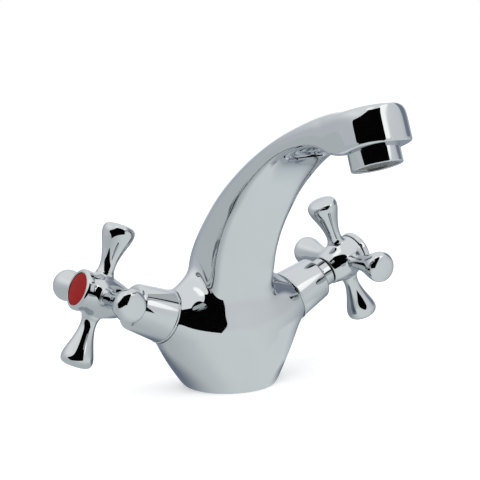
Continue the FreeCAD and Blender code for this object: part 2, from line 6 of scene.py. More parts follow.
import bmesh
import bpy
from mathutils import Matrix, Quaternion, Vector


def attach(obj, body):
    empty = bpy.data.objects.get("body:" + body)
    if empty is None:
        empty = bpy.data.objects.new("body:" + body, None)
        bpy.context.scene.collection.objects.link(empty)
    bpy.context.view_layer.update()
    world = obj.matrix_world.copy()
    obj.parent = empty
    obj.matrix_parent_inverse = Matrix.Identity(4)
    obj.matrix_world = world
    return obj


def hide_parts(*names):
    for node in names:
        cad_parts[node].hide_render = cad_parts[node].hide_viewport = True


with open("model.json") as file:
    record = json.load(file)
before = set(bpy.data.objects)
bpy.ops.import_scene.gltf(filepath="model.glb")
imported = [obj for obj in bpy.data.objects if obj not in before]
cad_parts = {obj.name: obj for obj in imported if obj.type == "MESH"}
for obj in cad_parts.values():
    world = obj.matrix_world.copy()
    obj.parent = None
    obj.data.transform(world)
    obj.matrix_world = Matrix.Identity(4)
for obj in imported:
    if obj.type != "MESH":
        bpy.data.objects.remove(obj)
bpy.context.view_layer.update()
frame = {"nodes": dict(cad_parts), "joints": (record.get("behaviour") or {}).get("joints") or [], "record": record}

bl_info = {
    "name": "Basin Mixer Tap",
    "version": (1, 0, 0),
    "blender": (4, 5, 0),
    "location": "View3D > Sidebar > Tap",
    "description": "Models the chrome pieces of a basin mixer tap and finishes the parts inside it",
    "category": "Object",
}

whole_turn = 2 * math.pi
millimetres_per_metre = 1000
merge_distance = 0.000002

# How finely pieces are turned, rounded and drilled, and the sharpest edges that are shaded smoothly
turning_steps = 96
round_segments = 6
hole_segments = 48
casting_smooth_angle = math.radians(35)
cap_smooth_angle = math.radians(40)

# The two valve lines, where they cross, and their slope, from the frame's joints
valves = {joint["child"].split("_")[0]: joint for joint in frame["joints"]}
valve_crossing = Vector(valves["cold"]["pos_m"])
valve_tilt = math.asin(Vector(valves["cold"]["axis"]).normalized().z)

# Casting: control rings as shares of the heights and sizes that they follow
ring_points = 72
casting_levels = 2
base_edge_share = 0.45
flank_shares = (0.06, 0.18, 0.35, 0.53, 0.71, 0.87, 1.0)
boss_shares = (0.12, 0.26, 0.37, 0.5, 0.63, 0.76, 0.89, 1.0)
shoulder_shares = (0.12, 0.26, 0.45, 0.68)
shoulder_rise_share = 0.935
# Hull depth in boss radii, against the way up the boss rim
hull_depth_shares = (
    (0.0, 1.6), (0.2, 1.585), (0.35, 1.5), (0.5, 1.39), (0.67, 1.26), (0.83, 1.12), (1.0, 0.97), (1.2, 0.8),
    (1.9, 0.63),
)
# Column front, back and half width, and the squareness of its front corners, against the boss rim's top
column_shares = (
    (0.0, 0.7, 0.64, 0.67, 2.0),
    (0.26, 0.87, 0.89, 0.82, 2.2),
    (0.52, 0.98, 1.03, 0.93, 2.8),
    (0.76, 1.0, 1.08, 0.99, 4.0),
    (0.92, 1.03, 1.08, 1.0, 5.0),
    (1.07, 1.12, 1.04, 1.0, 7.2),
    (1.18, 1.22, 0.93, 1.0, 7.7),
    (1.5, 1.4, 0.55, 1.0, 8.0),
)
column_back_power = 2.1
round_power = 2
union_power = 10
# Spout rings: front and back places in outlet reaches and heights, the way from the column's width to
# the tip's, the widest line's place between front and back, and the squareness of front and back
spout_shares = (
    (0.2, 0.581, -0.095, 0.592, 0.0, 0.52, 8.0, 2.2),
    (0.25, 0.666, 0.004, 0.694, 0.0, 0.5, 8.0, 2.2),
    (0.325, 0.754, 0.132, 0.813, 0.07, 0.48, 8.0, 2.3),
    (0.44, 0.858, 0.35, 0.948, 0.24, 0.46, 8.0, 2.4),
    (0.58, 0.953, 0.557, 1.037, 0.45, 0.44, 7.5, 2.8),
    (0.72, 0.996, 0.712, 1.088, 0.65, 0.38, 8.0, 3.5),
    (0.829, 1.008, 0.809, 1.116, 0.79, 0.32, 9.0, 4.3),
    (0.9, 0.985, 0.857, 1.125, 0.9, 0.28, 11.0, 5.0),
    (0.944, 0.982, 0.9, 1.131, 0.97, 0.25, 14.0, 5.5),
)
# Nose rings: reach past the outlet line and half width in tip radii, top and underside in tip heights
nose_shares = (
    (0.0, 1.0, 1.0, 0.0),
    (0.35, 0.97, 0.98, 0.0),
    (0.64, 0.86, 0.955, 0.0),
    (0.86, 0.66, 0.93, 0.0),
    (0.97, 0.44, 0.91, 0.0),
    (1.0, 0.27, 0.89, 0.01),
    (1.0, 0.1, 0.87, 0.02),
)
nose_line_share = 0.24
nose_bottom_power = 16.0
nose_top_power = 7.0

# Cross handle: places on the hub as shares of its lengths and radii
hub_spokes = 16
arm_spokes = 8
arm_count = 4
handle_levels = 3
hub_block_share = 0.39
hub_rim_share = 0.05
bush_share = 0.72
recess_share = 0.78
screw_share = 0.63
web_share = 0.26
seat_share = 0.5
# Arm rings: place in hub radii and radius in waist radii at the root, then place in arm reaches and
# radius in waist and knob radii
arm_root_shares = ((1.06, 1.2), (1.16, 1.05), (1.36, 1.0))
arm_shares = (
    (0.48, 1.02, 0.0),
    (0.64, 0.6, 0.37),
    (0.78, 0.0, 0.887),
    (0.88, 0.0, 1.0),
    (0.965, 0.0, 0.928),
    (1.0, 0.0, 0.53),
)
# Crown of the index disc: radius in disc radii, and the drop from its middle in crowns
disc_crown_shares = ((0.75, 0.56), (0.5, 0.25), (0.25, 0.06))
mouth_round_share = 0.6

# Finishes: the part of a noise that is spread out, the second grain, and the waves and wiped marks of chrome
noise_low = 0.3
noise_high = 0.7
broad_detail = 3
fine_detail = 2
fine_grain_ratio = 8
grain_bump = 0.3
wave_grain = 55
wave_detail = 1
wave_contrast = 0.03
wave_bump = 0.05
wave_height = 0.0004
wipe_grain = 420
wipe_detail = 4
wipe_roughness = (0.012, 0.035)
disc_gloss = 0.06
# Finish of each slot in the record
finish_names = {
    "chrome": "polished_chrome",
    "brass": "turned_brass",
    "steel": "stainless_steel",
    "seal_rubber": "seal_rubber",
    "white_plastic": "moulded_plastic",
    "ceramic": "fired_ceramic",
    "red_index": "hot_enamel",
    "blue_index": "cold_enamel",
}


def length(name, description, default):
    """A length that a user may change, in metres."""
    return bpy.props.FloatProperty(
        name=name, description=description, default=default, min=0.0, precision=4, subtype="DISTANCE",
        unit="LENGTH"
    )


def colour(name, description, default):
    """A finish colour that a user may change."""
    return bpy.props.FloatVectorProperty(
        name=name, description=description, default=default, size=3, min=0.0, max=1.0, subtype="COLOR"
    )


class CastingSizes(bpy.types.PropertyGroup):
    """Sizes of the body casting"""

    base_radius: length("Base radius", "Radius of the round base", 0.025)
    base_round: length("Base round", "Rounding of the base's lower edge", 0.0014)
    boss_reach: length("Boss reach", "From the valve lines' crossing to a boss face", 0.0417)
    boss_radius: length("Boss radius", "Radius of a boss face", 0.0143)
    flank_bulge: length("Flank bulge", "How far the flank swells under a boss", 0.0012)
    shoulder: length("Shoulder", "Half width of the hull where it runs into the column", 0.016)
    column_half_width: length("Column half width", "Half width of the column", 0.0195)
    column_front: length("Column front", "Depth of the column before the valve plane", 0.0172)
    column_back: length("Column back", "Depth of the column behind the valve plane", 0.0218)
    outlet_reach: length("Outlet reach", "How far the outlet is before the base's centre", 0.1248)
    outlet_height: length("Outlet height", "Height of the tip's underside", 0.1334)
    outlet_lean: bpy.props.FloatProperty(
        name="Outlet lean", description="Angle of the outlet from upright", default=math.radians(19),
        subtype="ANGLE"
    )
    tip_radius: length("Tip radius", "Half width of the spout's tip", 0.017)
    tip_height: length("Tip height", "Height of the spout's tip", 0.019)
    groove_radius: length("Groove radius", "Outer radius of the seal groove", 0.0224)
    groove_width: length("Groove width", "Width of the seal groove", 0.0032)
    groove_depth: length("Groove depth", "Depth of the seal groove", 0.0025)
    bore_radius: length("Bore radius", "Radius of a valve bore", 0.01048)
    bore_depth: length("Bore depth", "Depth of a valve bore", 0.022)


class HandleSizes(bpy.types.PropertyGroup):
    """Sizes of the shrouds, cross handles, caps and discs"""

    shroud_radius: length("Shroud radius", "Radius of a shroud at the boss", 0.0144)
    shroud_wall: length("Shroud wall", "Wall of a shroud", 0.0016)
    shroud_length: length("Shroud length", "Length of a shroud without its neck", 0.0223)
    shroud_end_radius: length("Shroud end", "Radius of a shroud at its outer end", 0.0119)
    shroud_end_round: length("Shroud end round", "Rounding of a shroud's outer end", 0.0024)
    shroud_base_round: length("Shroud edge round", "Rounding of a shroud's bead and neck", 0.00035)
    shroud_gap: length("Shroud gap", "Height of the shadow gap between a shroud's rim and the boss", 0.0008)
    shroud_bead: length("Shroud bead", "Width of the bead round a shroud's rim", 0.0012)
    shroud_step: length("Shroud step", "How far a shroud's cone stands back behind its bead", 0.0004)
    shroud_foot: length("Shroud foot", "How far a shroud's foot stands back under its rim", 0.0009)
    neck_radius: length("Neck radius", "Radius of the neck", 0.008)
    neck_wall: length("Neck wall", "Wall of the neck", 0.0023)
    neck_length: length("Neck length", "Length of the neck", 0.0062)
    handle_gap: length("Handle gap", "Gap between neck and hub", 0.0007)
    hub_back_length: length("Hub back", "From the arms' plane to the hub's back", 0.013)
    hub_front_length: length("Hub front", "From the arms' plane to the hub's front", 0.0085)
    hub_back_radius: length("Hub back radius", "Radius of the hub at its back", 0.0086)
    hub_radius: length("Hub radius", "Radius of the hub at the arms", 0.011)
    hub_front_radius: length("Hub front radius", "Radius of the hub at its front", 0.00995)
    arm_reach: length("Arm reach", "From the valve line to an arm's end", 0.0375)
    waist_radius: length("Arm waist", "Radius of an arm at its waist", 0.004)
    knob_radius: length("Arm knob", "Radius of an arm's knob", 0.0086)
    cap_radius: length("Cap radius", "Radius of the ring on the hub's front", 0.0106)
    cap_height: length("Cap height", "Height of that ring", 0.0036)
    cap_round: length("Cap round", "Rounding of that ring's front edge", 0.0017)
    cap_seam: length("Cap seam", "Gap between hub and ring", 0.00015)
    disc_radius: length("Index disc radius", "Radius of the coloured disc", 0.0084)
    disc_thickness: length("Index disc thickness", "Thickness of the coloured disc", 0.0012)
    disc_crown: length("Index disc crown", "Rise of the coloured disc's middle", 0.00035)


class OutletSizes(bpy.types.PropertyGroup):
    """Sizes of the aerator's collar"""

    collar_radius: length("Collar radius", "Outer radius of the aerator's collar", 0.012)
    collar_bore: length("Collar bore", "Radius inside the collar's thread", 0.01108)
    collar_height: length("Collar height", "Height of the collar", 0.0078)
    mouth_radius: length("Mouth radius", "Radius of the collar's mouth", 0.0099)
    lip_height: length("Lip height", "Height of the lip round the mouth", 0.001)
    collar_round: length("Collar round", "Rounding of the collar's lower edge", 0.0005)


class FinishColours(bpy.types.PropertyGroup):
    """Colours of the finishes and of the floor"""

    chrome: colour("Chrome", "Polished plating", (0.56, 0.578, 0.592))
    chrome_edge: colour("Chrome edge", "Tint of the plating at a glancing angle", (0.88, 0.91, 0.95))
    brass: colour("Brass", "Bare brass of the valves", (0.72, 0.5, 0.2))
    steel: colour("Steel", "Screws, clips and the screen", (0.4, 0.4, 0.38))
    rubber: colour("Rubber", "Seals and washers", (0.02, 0.02, 0.022))
    plastic: colour("Plastic", "Spline bushes and the aerator's insert", (0.75, 0.75, 0.72))
    ceramic: colour("Ceramic", "Valve discs", (0.8, 0.78, 0.74))
    hot: colour("Hot", "Disc of the hot handle", (0.28, 0.005, 0.004))
    cold: colour("Cold", "Disc of the cold handle", (0.01, 0.06, 0.4))
    floor: colour("Floor", "Floor and backdrop", (0.96, 0.96, 0.96))


# Material nodes

def new_material(name):
    """A material with its own shader and Object coordinates to draw patterns from."""
    material = bpy.data.materials.new(name)
    material.use_nodes = True
    shader = material.node_tree.nodes["Principled BSDF"]
    place = material.node_tree.nodes.new("ShaderNodeTexCoord").outputs["Object"]
    return material, shader, place


def noise(tree, place, scale, detail):
    """A soft noise over the object, with its grain given per metre."""
    node = tree.nodes.new("ShaderNodeTexNoise")
    node.inputs["Scale"].default_value = scale
    node.inputs["Detail"].default_value = detail
    tree.links.new(place, node.inputs["Vector"])
    return node.outputs["Fac"]


def spread(tree, value, low, high):
    """Spreads a noise between two values."""
    node = tree.nodes.new("ShaderNodeMapRange")
    node.inputs["From Min"].default_value = noise_low
    node.inputs["From Max"].default_value = noise_high
    node.inputs["To Min"].default_value = low
    node.inputs["To Max"].default_value = high
    tree.links.new(value, node.inputs["Value"])
    return node.outputs["Result"]


def tint(tree, value, base, low, high):
    """A colour that varies with a noise between two shares of its own brightness."""
    node = tree.nodes.new("ShaderNodeMix")
    node.data_type = "RGBA"
    node.inputs["A"].default_value = (*[part * low for part in base], 1)
    node.inputs["B"].default_value = (*[min(part * high, 1) for part in base], 1)
    tree.links.new(value, node.inputs["Factor"])
    return node.outputs["Result"]


def bump(tree, value, shader, strength, distance):
    """Raises a surface by a noise."""
    node = tree.nodes.new("ShaderNodeBump")
    node.inputs["Strength"].default_value = strength
    node.inputs["Distance"].default_value = distance
    tree.links.new(value, node.inputs["Height"])
    tree.links.new(node.outputs["Normal"], shader.inputs["Normal"])


def grained(name, base, grain, metallic, roughness, bump_height, contrast=0.06):
    """A finish whose colour, gloss and surface vary with two grains of noise."""
    material, shader, place = new_material(name)
    tree = material.node_tree
    broad = noise(tree, place, grain, broad_detail)
    fine = noise(tree, place, grain * fine_grain_ratio, fine_detail)
    shader.inputs["Metallic"].default_value = metallic
    tree.links.new(tint(tree, broad, base, 1 - contrast, 1 + contrast), shader.inputs["Base Color"])
    tree.links.new(spread(tree, fine, *roughness), shader.inputs["Roughness"])
    bump(tree, fine, shader, grain_bump, bump_height)
    return material


def chrome_finish():
    """Bright plating over a polished casting: slight waves, and faint wiped marks in the gloss."""
    material, shader, place = new_material("polished_chrome")
    tree = material.node_tree
    waves = noise(tree, place, wave_grain, wave_detail)
    wiped = noise(tree, place, wipe_grain, wipe_detail)
    base = bpy.context.scene.tap_colours.chrome
    shader.inputs["Metallic"].default_value = 1.0
    shader.inputs["Specular Tint"].default_value = (*bpy.context.scene.tap_colours.chrome_edge, 1)
    tree.links.new(tint(tree, waves, base, 1 - wave_contrast, 1 + wave_contrast), shader.inputs["Base Color"])
    tree.links.new(spread(tree, wiped, *wipe_roughness), shader.inputs["Roughness"])
    bump(tree, waves, shader, wave_bump, wave_height)
    return material


def enamel_finish(name, base):
    """Satin coloured disc."""
    material = grained(
        name, base, grain=300, metallic=0.0, roughness=(0.18, 0.3), bump_height=0.00001, contrast=0.08
    )
    shader = material.node_tree.nodes["Principled BSDF"]
    shader.inputs["Specular IOR Level"].default_value = disc_gloss
    return material


def finishes():
    """Every finish of the tap, by the name of its slot in the record."""
    known = bpy.data.materials
    if "polished_chrome" not in known:
        colours = bpy.context.scene.tap_colours
        chrome_finish()
        for name, base, *surface in (
            # Grain per metre, metallic, least and most roughness, height of the grain, and contrast
            ("turned_brass", colours.brass, 700, 1.0, (0.18, 0.32), 0.00001),
            ("stainless_steel", colours.steel, 900, 1.0, (0.25, 0.4), 0.00001),
            ("seal_rubber", colours.rubber, 1500, 0.0, (0.55, 0.75), 0.00002, 0.2),
            ("moulded_plastic", colours.plastic, 1200, 0.0, (0.35, 0.5), 0.00002),
            ("fired_ceramic", colours.ceramic, 900, 0.0, (0.12, 0.22), 0.000005),
        ):
            grained(name, base, *surface)
        enamel_finish("hot_enamel", colours.hot)
        enamel_finish("cold_enamel", colours.cold)
    return {slot: known[name] for slot, name in finish_names.items()}


# Mesh tools

def make_object(bm, name):
    """Turns a finished bmesh into an object at the origin."""
    mesh = bpy.data.meshes.new(name)
    bm.to_mesh(mesh)
    bm.free()
    made = bpy.data.objects.new(name, mesh)
    bpy.context.scene.collection.objects.link(made)
    return made


def close_up(bm):
    """Merges doubled points and turns every face outwards."""
    bmesh.ops.remove_doubles(bm, verts=bm.verts, dist=merge_distance)
    bmesh.ops.recalc_face_normals(bm, faces=bm.faces)


def dress(piece, body, slot, nodes):
    """Gives a piece its finish and its body, and hides the frame's nodes that it stands for."""
    piece.data.materials.append(finishes()[slot])
    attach(piece, body)
    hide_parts(*nodes)
    return piece


def smooth(piece, sharpest):
    """Shades a piece smoothly up to an angle between its faces."""
    piece.data.shade_smooth()
    piece.data.set_sharp_from_angle(angle=sharpest)


def subdivide(piece, levels):
    """Smooths a cage into its rounded shape."""
    rounding = piece.modifiers.new("rounding", "SUBSURF")
    rounding.levels = levels
    rounding.render_levels = levels


def start_ring(bm, points):
    """Makes a circle, moves it onto a ring of points and returns its edges."""
    spoke = bm.verts.layers.int.new("spoke")
    made = bmesh.ops.create_circle(bm, segments=len(points), radius=1)["verts"]
    for place, vert in enumerate(made):
        vert[spoke] = place
        vert.co = points[place]
    return list(bm.edges)


def grow_ring(bm, rim, points):
    """Extrudes a rim onto the next ring of points and returns the new rim."""
    spoke = bm.verts.layers.int["spoke"]
    rim, fresh = extrude_rim(bm, rim)
    for vert in fresh:
        vert.co = points[vert[spoke]]
    return rim


def extrude_rim(bm, rim):
    """Extrudes a rim in place and returns its new edges and points."""
    grown = bmesh.ops.extrude_edge_only(bm, edges=rim)["geom"]
    fresh = [item for item in grown if isinstance(item, bmesh.types.BMVert)]
    found = set(fresh)
    edges = {edge for vert in fresh for edge in vert.link_edges if edge.other_vert(vert) in found}
    return list(edges), fresh


def turned(outline, rounds):
    """Spins a closed outline of radius and height about +Z, with some of its corners rounded first."""
    bm = bmesh.new()
    corners = [bm.verts.new((radius, 0, height)) for radius, height in outline]
    for first, last in zip(corners, corners[1:] + corners[:1]):
        bm.edges.new((first, last))
    for corner, radius in rounds.items():
        bmesh.ops.bevel(
            bm, geom=[corners[corner]], offset=radius, offset_type="OFFSET", affect="VERTICES",
            segments=round_segments, profile=0.5, material=-1
        )
    bmesh.ops.spin(
        bm, geom=bm.verts[:] + bm.edges[:], cent=(0, 0, 0), axis=(0, 0, 1), angle=whole_turn,
        steps=turning_steps, use_merge=True
    )
    close_up(bm)
    return bm


def valve_place(side):
    """Where a piece modelled along +Z goes to stand on the hot or the cold valve line."""
    turn = Vector((0, 0, 1)).rotation_difference(Vector(valves[side]["axis"]))
    return Matrix.Translation(valves[side]["pos_m"]) @ turn.to_matrix().to_4x4()


def outlet_place(sizes):
    """Where a piece modelled along +Z goes to point out of the spout."""
    move = Matrix.Translation((0, -sizes.outlet_reach, sizes.outlet_height))
    return move @ Matrix.Rotation(math.pi - sizes.outlet_lean, 4, "X")


# Casting

def read_shares(shares, place):
    """Reads a table of shares between its rows, each of which starts with its place."""
    for low, high in zip(shares, shares[1:]):
        if place <= high[0]:
            way = (place - low[0]) / (high[0] - low[0])
            return [first + (last - first) * way for first, last in zip(low[1:], high[1:])]
    return shares[-1][1:]


def oval(angle, half_width, front, back, front_power, back_power):
    """Distance to the edge of an oval whose front and back differ in depth and squareness."""
    rise = math.sin(angle)
    power, depth = (front_power, front) if rise < 0 else (back_power, back)
    return ((abs(math.cos(angle)) / half_width) ** power + (abs(rise) / depth) ** power) ** (-1 / power)


def ring_angles():
    return [whole_turn * point / ring_points - math.pi / 2 for point in range(ring_points)]


def boss_heights(sizes):
    """Heights of a boss face's lowest, middle and highest points."""
    middle = valve_crossing.z + sizes.boss_reach * math.sin(valve_tilt)
    half = sizes.boss_radius * math.cos(valve_tilt)
    return middle - half, middle, middle + half


def boss_face_reach(sizes, height):
    """Where the slanted face of a boss lies at a height."""
    drop = height - boss_heights(sizes)[1]
    return sizes.boss_reach * math.cos(valve_tilt) - drop * math.tan(valve_tilt)


def shoulder_rise(sizes):
    first_spout_height = spout_shares[0][1] * sizes.outlet_height
    return (first_spout_height - boss_heights(sizes)[2]) * shoulder_rise_share


def hull_size(sizes, height):
    """Half width and half depth of the hull that joins the base and the bosses."""
    low, middle, high = boss_heights(sizes)
    if height <= low:
        rise = height / low
        reach = sizes.base_radius + (boss_face_reach(sizes, low) - sizes.base_radius) * rise
        depth = sizes.base_radius + (hull_depth_shares[0][1] * sizes.boss_radius - sizes.base_radius) * rise
        return reach + sizes.flank_bulge * math.sin(math.pi * rise), depth
    depth = read_shares(hull_depth_shares, (height - low) / (high - low))[0] * sizes.boss_radius
    if height <= high:
        drop = (height - middle) / math.cos(valve_tilt)
        chord = math.sqrt(max(sizes.boss_radius ** 2 - drop ** 2, 0))
        return boss_face_reach(sizes, height) / math.sqrt(1 - (chord / depth) ** 2), depth
    left = 1 - (height - high) / shoulder_rise(sizes)
    return sizes.shoulder + (boss_face_reach(sizes, high) - sizes.shoulder) * left ** 2, depth


def level_ring(sizes, height):
    """A level control ring: the hull and the column, blended into one outline."""
    reach, depth = hull_size(sizes, height)
    front, back, width, corner = read_shares(column_shares, height / boss_heights(sizes)[2])
    front = front * sizes.column_front
    back = back * sizes.column_back
    width = width * sizes.column_half_width
    points = []
    for angle in ring_angles():
        column = oval(angle, width, front, back, corner, column_back_power)
        hull = oval(angle, reach, depth, depth, round_power, round_power)
        blend = (column ** union_power + hull ** union_power) ** (1 / union_power)
        points.append(Vector((blend * math.cos(angle), blend * math.sin(angle), height)))
    return points


def base_ring(sizes, inset):
    """A control ring in the base's plane, at its rounded edge."""
    radius = sizes.base_radius - inset
    return [Vector((radius * math.cos(angle), radius * math.sin(angle), 0)) for angle in ring_angles()]


def slanted_ring(front_point, back_point, half_width, line_share, front_power, back_power):
    """A control ring of the spout, in the plane through its front and back points."""
    run = back_point - front_point
    depth = run.length
    run.normalize()
    middle = front_point + run * depth * line_share
    points = []
    for angle in ring_angles():
        reach = oval(angle, half_width, depth * line_share, depth * (1 - line_share), front_power, back_power)
        points.append(middle + run * reach * math.sin(angle) + Vector((reach * math.cos(angle), 0, 0)))
    return points


def spout_ring(sizes, row):
    front_y, front_z, back_y, back_z, width, line, front_power, back_power = row
    front_point = Vector((0, -front_y * sizes.outlet_reach, front_z * sizes.outlet_height))
    back_point = Vector((0, -back_y * sizes.outlet_reach, back_z * sizes.outlet_height))
    half_width = sizes.column_half_width + (sizes.tip_radius - sizes.column_half_width) * width
    return slanted_ring(front_point, back_point, half_width, line, front_power, back_power)


def nose_ring(sizes, row):
    """A control ring of the nose, in a plane along the outlet line."""
    reach, width, top, underside = row
    lean = sizes.outlet_lean
    rise = Vector((0, math.sin(lean), math.cos(lean))) * sizes.tip_height
    foot = Vector((0, -sizes.outlet_reach, sizes.outlet_height))
    foot += Vector((0, -math.cos(lean), math.sin(lean))) * reach * sizes.tip_radius
    return slanted_ring(
        foot + rise * underside, foot + rise * top, width * sizes.tip_radius, nose_line_share,
        nose_bottom_power, nose_top_power
    )


def casting_rings(sizes):
    """Every control ring from the base's edge to the end of the nose."""
    low, _, high = boss_heights(sizes)
    rings = [base_ring(sizes, sizes.base_round), base_ring(sizes, sizes.base_round * base_edge_share)]
    rings += [level_ring(sizes, low * share) for share in flank_shares]
    rings += [level_ring(sizes, low + (high - low) * share) for share in boss_shares]
    rings += [level_ring(sizes, high + shoulder_rise(sizes) * share) for share in shoulder_shares]
    rings += [spout_ring(sizes, row) for row in spout_shares]
    rings += [nose_ring(sizes, row) for row in nose_shares]
    return rings


def casting_skin(sizes):
    """The smooth outside of the casting, open at its base, as a subdivided bmesh."""
    bm = bmesh.new()
    rings = casting_rings(sizes)
    rim = start_ring(bm, rings[0])
    for ring in rings[1:]:
        rim = grow_ring(bm, rim, ring)
    bmesh.ops.edgeloop_fill(bm, edges=rim)
    bmesh.ops.recalc_face_normals(bm, faces=bm.faces)
    cage = make_object(bm, "casting_cage")
    subdivide(cage, casting_levels)
    bpy.context.view_layer.update()
    ready = cage.evaluated_get(bpy.context.evaluated_depsgraph_get())
    skin = bmesh.new()
    skin.from_mesh(ready.to_mesh())
    ready.to_mesh_clear()
    bpy.data.objects.remove(cage)
    return skin


def cut_boss(bm, sizes, side):
    """Cuts a boss face square to its valve line and sinks the valve bore into it."""
    axis = Vector(valves[side]["axis"])
    middle = valve_crossing + axis * sizes.boss_reach
    near = [face for face in bm.faces if (face.calc_center_median() - middle).length < sizes.boss_radius * 2]
    around = {item for face in near for item in (*face.verts, *face.edges, face)}
    cut = bmesh.ops.bisect_plane(
        bm, geom=list(around), dist=merge_distance, plane_co=middle, plane_no=axis, clear_outer=True
    )["geom_cut"]
    rim = [item for item in cut if isinstance(item, bmesh.types.BMEdge)]
    rim, fresh = extrude_rim(bm, rim)
    for vert in fresh:
        vert.co = middle + (vert.co - middle).normalized() * sizes.bore_radius
    rim, fresh = extrude_rim(bm, rim)
    bmesh.ops.translate(bm, verts=fresh, vec=-axis * sizes.bore_depth)
    bmesh.ops.edgeloop_fill(bm, edges=rim)


def ring_to(bm, rim, radius, height):
    """Extrudes a level rim round the origin to a radius and a height."""
    rim, fresh = extrude_rim(bm, rim)
    for vert in fresh:
        flat = Vector((vert.co.x, vert.co.y, 0)).normalized() * radius
        vert.co = (flat.x, flat.y, height)
    return rim


def sink_underside(bm, sizes):
    """Closes the base with its seal groove and the threaded holes that the record's mounts give."""
    rim = [edge for edge in bm.edges if edge.is_boundary]
    inner_radius = sizes.groove_radius - sizes.groove_width
    rim = ring_to(bm, rim, sizes.groove_radius, 0)
    rim = ring_to(bm, rim, sizes.groove_radius, sizes.groove_depth)
    rim = ring_to(bm, rim, inner_radius, sizes.groove_depth)
    rim = ring_to(bm, rim, inner_radius, 0)
    holes = [mount for mount in frame["record"]["mounts"] if mount["kind"] == "threaded_hole"]
    mouths = []
    for hole in holes:
        radius = hole["dims"]["r_mm"] / millimetres_per_metre
        made = bmesh.ops.create_circle(
            bm, segments=hole_segments, radius=radius, matrix=Matrix.Translation(hole["pos_m"])
        )["verts"]
        mouths.append((list({edge for vert in made for edge in vert.link_edges}), hole))
    flat_edges = rim + [edge for mouth, _ in mouths for edge in mouth]
    bmesh.ops.triangle_fill(bm, edges=flat_edges, use_beauty=True, use_dissolve=False, normal=(0, 0, -1))
    for mouth, hole in mouths:
        end, fresh = extrude_rim(bm, mouth)
        inwards = -Vector(hole["axis"]) * hole["dims"]["length_mm"] / millimetres_per_metre
        bmesh.ops.translate(bm, verts=fresh, vec=inwards)
        bmesh.ops.edgeloop_fill(bm, edges=end)


class TAP_OT_casting(bpy.types.Operator):
    """Model the one-piece casting: base, bosses, column and spout"""

    bl_idname = "tap.casting"
    bl_label = "Casting"

    def execute(self, context):
        sizes = context.scene.tap_casting
        bm = casting_skin(sizes)
        for side in valves:
            cut_boss(bm, sizes, side)
        sink_underside(bm, sizes)
        close_up(bm)
        casting = make_object(bm, "casting")
        smooth(casting, casting_smooth_angle)
        dress(casting, "tap", "chrome", ["tap_body"])
        return {"FINISHED"}


# Shrouds, handles, caps and discs

def hub_back_station(scene):
    """Where the hub's back lies on the valve line."""
    sizes = scene.tap_handle
    return scene.tap_casting.boss_reach + sizes.shroud_length + sizes.neck_length + sizes.handle_gap


def arm_station(scene):
    return hub_back_station(scene) + scene.tap_handle.hub_back_length


def cap_station(scene):
    sizes = scene.tap_handle
    return arm_station(scene) + sizes.hub_front_length + sizes.cap_seam


class TAP_OT_shrouds(bpy.types.Operator):
    """Turn the two conical shrouds with their necks"""

    bl_idname = "tap.shrouds"
    bl_label = "Shrouds"

    def execute(self, context):
        sizes = context.scene.tap_handle
        base = context.scene.tap_casting.boss_reach
        end = base + sizes.shroud_length
        neck_end = end + sizes.neck_length
        inner = sizes.shroud_radius - sizes.shroud_wall
        foot = sizes.shroud_radius - sizes.shroud_foot
        rim = base + sizes.shroud_gap
        throat = sizes.neck_radius - sizes.neck_wall
        for side in valves:
            bm = turned(
                [
                    (inner, base), (foot, base), (foot, rim), (sizes.shroud_radius, rim),
                    (sizes.shroud_radius, rim + sizes.shroud_bead),
                    (sizes.shroud_radius - sizes.shroud_step, rim + sizes.shroud_bead),
                    (sizes.shroud_end_radius, end), (sizes.neck_radius, end), (sizes.neck_radius, neck_end),
                    (throat, neck_end), (throat, end - sizes.shroud_wall),
                    (sizes.neck_radius, end - sizes.shroud_wall),
                ],
                {
                    3: sizes.shroud_base_round, 4: sizes.shroud_base_round, 6: sizes.shroud_end_round,
                    8: sizes.shroud_base_round, 9: sizes.shroud_base_round,
                },
            )
            bm.transform(valve_place(side))
            shroud = make_object(bm, side + "_shroud_cone")
            smooth(shroud, casting_smooth_angle)
            dress(shroud, "tap", "chrome", [side + "_shroud"])
        return {"FINISHED"}


def hub_rings(sizes):
    """Control rings round the closed wall of the hub: radius, and height over the arms' plane."""
    back = -sizes.hub_back_length
    front = sizes.hub_front_length
    block = sizes.hub_radius * hub_block_share
    rim = sizes.hub_back_length * hub_rim_share
    bush = sizes.hub_back_radius * bush_share
    recess = sizes.hub_front_radius * recess_share
    screw = sizes.waist_radius * screw_share
    web = front * web_share
    seat = front * seat_share
    return [
        (bush, web), (bush, back * 0.97), (bush * 1.02, back), (sizes.hub_back_radius - rim, back),
        (sizes.hub_back_radius + rim * 0.1, back + rim * 0.3), (sizes.hub_back_radius * 1.045, back * 0.88),
        (sizes.hub_radius * 0.905, back * 0.66), (sizes.hub_radius * 0.98, -block),
        (sizes.hub_radius * 1.004, 0), (sizes.hub_radius * 0.993, block),
        (sizes.hub_front_radius * 1.012, front * 0.8), (sizes.hub_front_radius * 1.002, front * 0.97),
        (sizes.hub_front_radius * 0.985, front), (recess * 1.02, front), (recess, front * 0.97),
        (recess, seat), (screw, seat), (screw, web),
    ]


def circle_points(radius, height, count):
    """Points of a level circle, set out so that the smoothed ring has that radius."""
    reach = radius * 3 / (2 + math.cos(whole_turn / count))
    points = []
    for place in range(count):
        angle = whole_turn * place / count
        points.append(Vector((reach * math.cos(angle), reach * math.sin(angle), height)))
    return points


